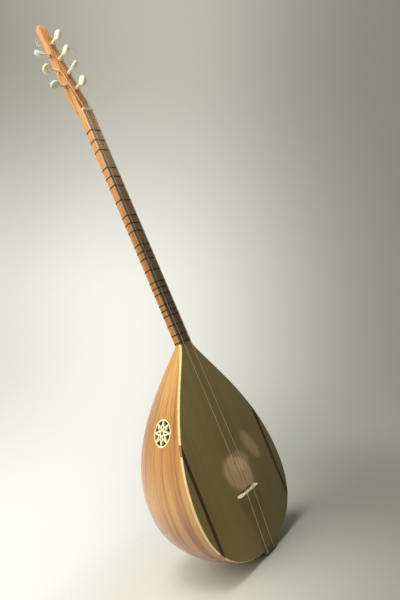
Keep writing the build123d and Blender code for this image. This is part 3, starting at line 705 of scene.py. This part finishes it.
def skin(build, rings):
    """Joins closed rings of points with quads, closes both ends and returns the rows of vertices."""
    rows = [[build.verts.new(p) for p in ring] for ring in rings]
    count = len(rings[0])
    for low, high in zip(rows, rows[1:]):
        for k in range(count):
            build.faces.new((low[k], low[(k + 1) % count], high[(k + 1) % count], high[k]))
    build.faces.new(rows[0][::-1])
    build.faces.new(rows[-1])
    return rows


def add_object(name, build):
    """Turns a bmesh into an object in the scene."""
    mesh = bpy.data.meshes.new(name)
    build.to_mesh(mesh)
    build.free()
    made = bpy.data.objects.new(name, mesh)
    bpy.context.scene.collection.objects.link(made)
    return made


def modified_mesh(made):
    """An object's mesh with its modifiers applied."""
    bpy.context.view_layer.update()
    return bpy.data.meshes.new_from_object(made.evaluated_get(bpy.context.evaluated_depsgraph_get()))


def finish_piece(name, build, material, body=BODY, replaces=(), sharp=35.0):
    """Turns a bmesh into a smooth-shaded piece that rides on a body."""
    bmesh.ops.recalc_face_normals(build, faces=build.faces[:])
    for face in build.faces:
        face.smooth = True
    for edge in build.edges:
        if len(edge.link_faces) == 2 and edge.calc_face_angle(0.0) > radians(sharp):
            edge.smooth = False
    piece = add_object(name, build)
    piece.data.materials.append(material)
    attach(piece, body)
    if replaces:
        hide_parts(*replaces)
    return piece


def tube(build, path, radius, sides):
    """A round wire along a list of places, in metres."""
    rings = []
    side = None
    for index, place in enumerate(path):
        before, after = path[max(index - 1, 0)], path[min(index + 1, len(path) - 1)]
        along = (after - before).normalized()
        if side is None:
            side = along.orthogonal().normalized()
        side = (side - along * side.dot(along)).normalized()
        across = along.cross(side)
        rings.append([place + (side * cos(a) + across * sin(a)) * radius for a in circle(sides)])
    skin(build, rings)


def curve_through(points, steps):
    """A smooth run of places through given ones."""
    ends = [2 * points[0] - points[1]] + points + [2 * points[-1] - points[-2]]
    run = []
    for a, b, c, d in zip(ends, ends[1:], ends[2:], ends[3:]):
        for k in range(steps):
            t = k / steps
            run.append(0.5 * (2 * b + (c - a) * t + (2 * a - 5 * b + 4 * c - d) * t ** 2
                              + (3 * b - a - 3 * c + d) * t ** 3))
    return run + [points[-1]]


def lathe(build, profile, turn=Matrix.Identity(4), segments=40):
    """A turned shape of (radius, height) pairs, closed at both ends."""
    skin(build, [[turn @ point(radius * cos(a), radius * sin(a), height) for a in circle(segments)]
                 for radius, height in profile])


# ---- bowl ------------------------------------------------------------------------------------

def stave_section(first, width, z):
    """One section of a rib: its points, how far across the rib each lies, and the middle's radius."""
    middle = bowl_radius(z, first + width / 2)
    seam = min(0.35 * width, SEAM_WIDTH / max(middle, 1.0) * 180 / pi)
    outer = [seam + (width - 2 * seam) * k / STAVE_STEPS for k in range(STAVE_STEPS + 1)]
    outer = [0.0] + outer + [width]
    inner = [width, 0.66 * width, 0.33 * width, 0.0]
    ring = []
    for step in outer:
        sink = SEAM_DEPTH if step in (0.0, width) else 0.0
        ring.append(radial_point(first + step, bowl_radius(z, first + step) - sink, z))
    for step in inner:
        slope = bowl_slope(z, first + step)
        size = hypot(slope, 1)
        ring.append(radial_point(first + step, bowl_radius(z, first + step) - BOWL_WALL / size,
                                 z + BOWL_WALL * slope / size))
    across = [(step - width / 2) * pi / 180 * middle for step in outer + inner]
    return ring, across, middle


def stave(index, material):
    """One rib of the bowl, with a fine seam along both edges and the grain along its length."""
    width = 180 / STAVE_COUNT
    build = bmesh.new()
    grain = build.loops.layers.uv.new("grain")
    rings = []
    flat = []
    run = 0.0
    previous = None
    for z in stations(BOWL_END_Z, JOINT_Z, STAVE_STATIONS):
        ring, across, middle = stave_section(width * index, width, z)
        if previous:
            run += hypot(middle - previous[0], z - previous[1])
        previous = (middle, z)
        rings.append(ring)
        flat.append([(x * MM + GRAIN_SHIFT[0] * index, run * MM + GRAIN_SHIFT[1] * index)
                     for x in across])
    places = {}
    for row, values in zip(skin(build, rings), flat):
        places.update(zip(row, values))
    for face in build.faces:
        for loop in face.loops:
            loop[grain].uv = places[loop.vert]
    return finish_piece(f"rib_{index + 1}", build, material, replaces=[f"bowl_stave_{index + 1}"])


def rosette_frame():
    """Axes at the rosette's centre, with Z out of the bowl."""
    centre = radial_point(ROSETTE_ANGLE, bowl_radius(ROSETTE_Z, ROSETTE_ANGLE), ROSETTE_Z)
    above = radial_point(ROSETTE_ANGLE, bowl_radius(ROSETTE_Z + 1, ROSETTE_ANGLE), ROSETTE_Z + 1)
    beside = radial_point(ROSETTE_ANGLE + 1, bowl_radius(ROSETTE_Z, ROSETTE_ANGLE + 1), ROSETTE_Z)
    up = (above - centre).normalized()
    outward = up.cross(beside - centre).normalized()
    if outward.x > 0:
        outward = -outward
    turn = Matrix((up, outward.cross(up), outward)).transposed().to_4x4()
    return Matrix.Translation(centre) @ turn


def cut_sound_hole(ribs):
    """Cuts the round hole for the rosette through the ribs that it crosses."""
    build = bmesh.new()
    bmesh.ops.create_cone(build, cap_ends=True, segments=96, radius1=ROSETTE_RADIUS * MM,
                          radius2=ROSETTE_RADIUS * MM, depth=CUTTER_LENGTH * MM,
                          matrix=rosette_frame())
    cutter = add_object("cutter", build)
    for rib in ribs:
        cut = rib.modifiers.new("hole", "BOOLEAN")
        cut.operation = "DIFFERENCE"
        cut.solver = "EXACT"
        cut.object = cutter
        rib.data = modified_mesh(rib)
        rib.modifiers.clear()
    bpy.data.objects.remove(cutter)


# ---- soundboard ------------------------------------------------------------------------------

def outline():
    """The soundboard's outline as (x, z), from the neck down the right side and back up the left."""
    right = [(half_width(z), z) for z in stations(0.0, JOINT_Z, OUTLINE_STATIONS)]
    left = [(-x, z) for x, z in right[1:]]
    return right[::-1] + left


def board_blank():
    """The whole soundboard, with the edge of its face rounded."""
    build = bmesh.new()
    face = build.faces.new([build.verts.new(point(x, 0, z)) for x, z in outline()])
    moved = bmesh.ops.extrude_face_region(build, geom=[face])
    back = [item for item in moved["geom"] if isinstance(item, bmesh.types.BMVert)]
    bmesh.ops.translate(build, verts=back, vec=point(0, BOARD_THICKNESS, 0))
    bmesh.ops.recalc_face_normals(build, faces=build.faces[:])
    rim = [edge for edge in build.edges
           if all(abs(vert.co.y) < 1e-7 for vert in edge.verts) and edge.calc_face_angle(0) > 1]
    bmesh.ops.bevel(build, geom=rim, offset=RIM_ROUNDING * MM, segments=3, affect="EDGES",
                    profile=0.5)
    return build


def plate(name, low, high, face_material, edge_material, node):
    """The part of the soundboard between two x values."""
    build = board_blank()
    for limit, side in ((low, -1), (high, 1)):
        if abs(limit) >= BODY_HALF_WIDTH:
            continue
        bmesh.ops.bisect_plane(build, geom=build.verts[:] + build.edges[:] + build.faces[:],
                               plane_co=point(limit, 0, 0), plane_no=(side, 0, 0), clear_outer=True)
        bmesh.ops.contextual_create(build, geom=[edge for edge in build.edges if edge.is_boundary])
    piece = finish_piece(name, build, face_material, replaces=[node], sharp=25.0)
    piece.data.materials.append(edge_material)
    for polygon in piece.data.polygons:
        x = polygon.center.x
        flat = abs(polygon.normal.y) > 0.999 or min(abs(x - low * MM), abs(x - high * MM)) < 1e-6
        polygon.use_smooth = not flat
        polygon.material_index = 0 if flat else 1


def soundboard(materials):
    """Three plates, with a dark strip between the centre and each wing."""
    inner, outer = STRIP_X - STRIP_WIDTH / 2, STRIP_X + STRIP_WIDTH / 2
    wide = BODY_HALF_WIDTH + 1
    # The rim's edge materials are paler copies of the plates' woods: painted light.
    spruce, edge = materials["spruce"], materials["board_edge_painted_light"]
    dark, ends = materials["dark_strip"], materials["strip_edge_painted_light"]
    plate("board_centre", -inner, inner, spruce, edge, "soundboard_centre")
    plate("board_wing_left", -wide, -outer, spruce, edge, "soundboard_wing_left")
    plate("board_wing_right", outer, wide, spruce, edge, "soundboard_wing_right")
    plate("board_strip_left", -outer, -inner, dark, ends, "soundboard_strip_left")
    plate("board_strip_right", inner, outer, dark, ends, "soundboard_strip_right")


# ---- pegs ------------------------------------------------------------------------------------

def peg_stem(build, through):
    """A turned shaft that swells, narrows to a ridge and runs into the handle."""
    tail = -(through + PEG_TAIL)
    lathe(build, [(PEG_RADIUS - 0.6, tail), (PEG_RADIUS, tail + 0.9), (PEG_RADIUS, PEG_SEAT),
                  (PEG_SWELL_RADIUS, 8.6), (3.7, 11.4), (3.15, 12.8), (4.0, 13.8), (4.15, 14.6),
                  (3.3, 15.6), (PEG_WAIST_RADIUS, PEG_STEM), (PEG_WAIST_RADIUS, PEG_STEM + 4)])


def peg_handle(build):
    """A thick round handle, and the flare that joins it to the stem."""
    half = HANDLE_THICKNESS / 2
    rim = [(0.02, 0.25 - half), (4.6, 0.15 - half), (7.2, -half), (9.3, 0.5 - half),
           (10.5, 1.5 - half), (HANDLE_RADIUS, 0.0)]
    coin = rim + [(radius, -height) for radius, height in rim[-2::-1]]
    centre = Matrix.Translation(point(0, 0, PEG_STEM + HANDLE_RADIUS))
    lathe(build, coin, centre @ Matrix.Rotation(pi / 2, 4, "Y"), 56)
    # Height, half width and half thickness of the flare.
    flare = ((15.4, 2.6, 2.6), (17.0, 3.6, 3.2), (18.8, 5.4, 3.6), (21.0, 7.4, 3.8))
    skin(build, [[point(thick * cos(a), wide * sin(a), height) for a in circle(32)]
                 for height, wide, thick in flare])


def tuning_peg(name, peg_matrix, through, material):
    """A peg whose stem, ridge and handle are one skin with soft joints."""
    build = bmesh.new()
    peg_stem(build, through)
    peg_handle(build)
    carrier = add_object("peg_carrier", build)
    remesh = carrier.modifiers.new("one_skin", "REMESH")
    remesh.mode = "VOXEL"
    remesh.voxel_size = PEG_VOXEL * MM
    soften = carrier.modifiers.new("soften", "SMOOTH")
    soften.factor = 0.5
    soften.iterations = PEG_SMOOTHING
    build = bmesh.new()
    build.from_mesh(modified_mesh(carrier))
    bpy.data.objects.remove(carrier)
    bmesh.ops.transform(build, matrix=peg_matrix, verts=build.verts[:])
    finish_piece(f"tuning_peg_{name}", build, material, body=f"{name}_peg",
                 replaces=[f"peg_{name}"], sharp=80.0)


def winding(name, peg_matrix, material, radius):
    """The turns of string on a peg as one coiled wire."""
    build = bmesh.new()
    count = WINDING_TURNS * COIL_STEPS
    coil = PEG_RADIUS + radius
    path = []
    for k in range(count + 1):
        angle = 2 * pi * WINDING_TURNS * k / count
        height = WINDING_LIFT + radius + (WINDING_TURNS - 1) * 2 * radius * k / count
        path.append(peg_matrix @ point(coil * cos(angle), coil * sin(angle), height))
    tube(build, path, radius * MM, 8)
    finish_piece(f"coil_{name}", build, material, body=f"{name}_peg", replaces=[f"winding_{name}"],
                 sharp=60.0)


def wire_tail(name, seat, material, places):
    """The stiff trimmed end of a string, which stays on its peg."""
    build = bmesh.new()
    path = curve_through([seat @ point(*place) for place in places], 8)
    tube(build, path, TAIL_WIRE_RADIUS * MM, 6)
    finish_piece(f"wire_tail_{name}", build, material, body=f"{name}_peg", sharp=60.0)


def pegs(materials):
    seats = {}
    for name, seat, turn, through in peg_frames():
        wound = name in WOUND_PEGS
        metal = materials["wound_string" if wound else "steel"]
        peg_matrix = seat @ Matrix.Rotation(radians(turn), 4, "Z")
        tuning_peg(name, peg_matrix, through, materials["peg_ivory"])
        winding(name, peg_matrix, metal, WOUND_RADIUS if wound else PLAIN_RADIUS)
        seats[name] = seat
    wire_tail("front_3", seats["front_3"], materials["wire_end_highlight"],
              [(4.3, 0, 3), (6.4, 1.5, 8), (7.4, 3.5, 18), (6.6, 6, 29), (7.4, 5.6, 34.5),
               (11, 0, 36), (16, -5.5, 36), (21.6, -10.5, 36)])
    wire_tail("side_3", seats["side_3"], materials["wire_end_highlight"],
              [(0, 4.3, 3), (4, 5.5, 9), (10, 5, 17), (15.5, 3, 24), (18, 3.6, 29), (16, 6.5, 31),
               (12, 7.4, 32), (8.4, 11.5, 32), (8.6, 17.5, 32), (12.6, 18.8, 32), (15, 15, 31.5),
               (13, 12.6, 32.5), (9.6, 16, 33), (12.5, 22.8, 33), (17.2, 23.4, 33)])


# ---- frets -----------------------------------------------------------------------------------

def fret_line(half, depth):
    """Once round the neck for a fret's strand, as (x, y), from the fingerboard's right edge."""
    reach, low = half + FRET_STRAND, depth + FRET_STRAND
    face = FINGERBOARD_FACE_Y
    back = []
    for k in range(FRET_BACK_STEPS + 1):
        angle = 180 * k / FRET_BACK_STEPS
        radius = section_radius(reach, low, angle)
        across, down = radius * cos(radians(angle)), radius * sin(radians(angle))
        back.append((-across, BOARD_THICKNESS + down))
    corner = 0.72 * FRET_STRAND
    top = [(reach, face + 0.2), (half + corner, face - corner), (half - 0.3, face - FRET_STRAND),
           (0, face - FRET_STRAND), (0.3 - half, face - FRET_STRAND), (-half - corner, face - corner),
           (-reach, face + 0.2)]
    return top + back


def fret_knot(build, half, z):
    """Two wraps and two short ends on the right side of the neck."""
    strand = FRET_STRAND
    for low in KNOT_YS:
        wrap = [leaned(half + strand + 1.7 * strand * cos(a), low + 0.25 * sin(2 * a),
                       z + 3.4 * strand * sin(a)) for a in circle(16) + [2 * pi]]
        tube(build, wrap, strand * MM, 6)
    reach = half + 2.6 * strand
    for side in (-1, 1):
        end = [leaned(reach, 0.8, z + side * 0.3), leaned(reach + 0.5, 0.6, z + side * 1.1),
               leaned(reach + 1.1, 0.9, z + side * 2.0)]
        tube(build, end, 0.8 * strand * MM, 6)


def fret_bands(material):
    """Tied frets: each goes three times round the neck and is knotted on the right."""
    build = bmesh.new()
    for share in FRETS:
        z = NUT_Z - share * SCALE_LENGTH
        run = (z - JOINT_Z) / (NUT_Z - JOINT_Z)
        half = JOINT_HALF_WIDTH + (NUT_HALF_WIDTH - JOINT_HALF_WIDTH) * run + FRET_CLEARANCE
        depth = NECK_DEPTH_JOINT + (NECK_DEPTH_NUT - NECK_DEPTH_JOINT) * run + FRET_CLEARANCE
        line = fret_line(half, depth)
        count = len(line) * FRET_TURNS
        path = []
        for k in range(count + 1):
            x, y = line[k % len(line)]
            path.append(leaned(x, y, z + FRET_PITCH * (FRET_TURNS * k / count - FRET_TURNS / 2)))
        tube(build, path, FRET_STRAND * MM, 6)
        fret_knot(build, half, z)
    finish_piece("gut_frets", build, material, replaces=["frets"], sharp=60.0)


# ---- bridge ----------------------------------------------------------------------------------

def bridge_stations():
    """Places along the bridge, closer where it rounds off, arches or holds a string."""
    places = [BRIDGE_HALF_LENGTH - k for k in (0.05, 0.5, 1.3, 2.6, 4.4, 6.5)]
    places += [BRIDGE_HALF_LENGTH - BRIDGE_FOOT - k for k in (-2.5, -1, 0, 1, 2.5, 4.5)]
    places += [-x for x in places]
    for x in STRING_X_NUT:
        places += [x * BRIDGE_SPREAD + k for k in (-0.6, -0.3, 0, 0.3, 0.6)]
    return sorted(set(places))


def bridge_section(x):
    """The bridge's closed section at one place along it."""
    from_end = BRIDGE_HALF_LENGTH - abs(x)
    knob = 1 + KNOB_SWELL * max(0.0, 1 - abs(from_end - BRIDGE_ROUNDING) / KNOB_REACH)
    full = min(1.0, (from_end / BRIDGE_ROUNDING) ** 0.5)
    foot, top = BRIDGE_THICKNESS / 2 * knob * full, BRIDGE_TOP_THICKNESS / 2 * knob * full
    rise = max(0.0, min(1.0, (from_end - BRIDGE_FOOT) / 4.5)) ** 0.6
    low = -BRIDGE_ARCH * rise - (1 - full) * 1.6
    high = -BRIDGE_HEIGHT + (1 - full) * 2.4
    from_string = min(abs(x - place * BRIDGE_SPREAD) for place in STRING_X_NUT)
    high += GROOVE * max(0.0, 1 - from_string / GROOVE)
    side = []
    for share, width in ((0, 0.72), (0.06, 0.94), (0.2, 1.0), (0.5, 0.98), (0.82, 1.0), (0.95, 0.9),
                         (1.0, 0.6)):
        side.append(((foot + (top - foot) * share) * width, low + (high - low) * share))
    ring = side + [(-thick, y) for thick, y in side[::-1]]
    return [point(x, y, BRIDGE_Z + thick) for thick, y in ring]


def bridge_piece(material):
    """The floating bridge: an arched bar with knobbed, rounded ends and a groove for each string."""
    build = bmesh.new()
    skin(build, [bridge_section(x) for x in bridge_stations()])
    finish_piece("floating_bridge", build, material, replaces=["bridge"], sharp=50.0)


# ---- CAD nodes that keep their shape ---------------------------------------------------------

def soften_edges(node, width):
    """Rounds a CAD piece's sharp edges with a modifier."""
    bevel = frame["nodes"][node].modifiers.new("worn_edges", "BEVEL")
    bevel.width = width * MM
    bevel.segments = 2
    bevel.limit_method = "ANGLE"
    bevel.angle_limit = radians(45.0)


def dress_nodes(materials):
    """Gives every CAD node the material of its slot."""
    slots = {row["node"]: row["material_slot"] for row in frame["record"]["subparts"]}
    for name, node in frame["nodes"].items():
        material = materials["head_wood_painted_light" if name == "peghead" else slots[name]]
        node.data.materials.clear()
        node.data.materials.append(material)


make_camera()
make_world()
make_stage()
make_lights()
bpy.context.scene.view_settings.view_transform = "Standard"

MATERIALS = make_materials()
dress_nodes(MATERIALS)
RIBS = [stave(index, MATERIALS["bowl_wood"]) for index in range(STAVE_COUNT)]
cut_sound_hole(RIBS[0:3])
soundboard(MATERIALS)
pegs(MATERIALS)
fret_bands(MATERIALS["gut"])
bridge_piece(MATERIALS["bone"])
for node, width in WORN_EDGES.items():
    soften_edges(node, width)
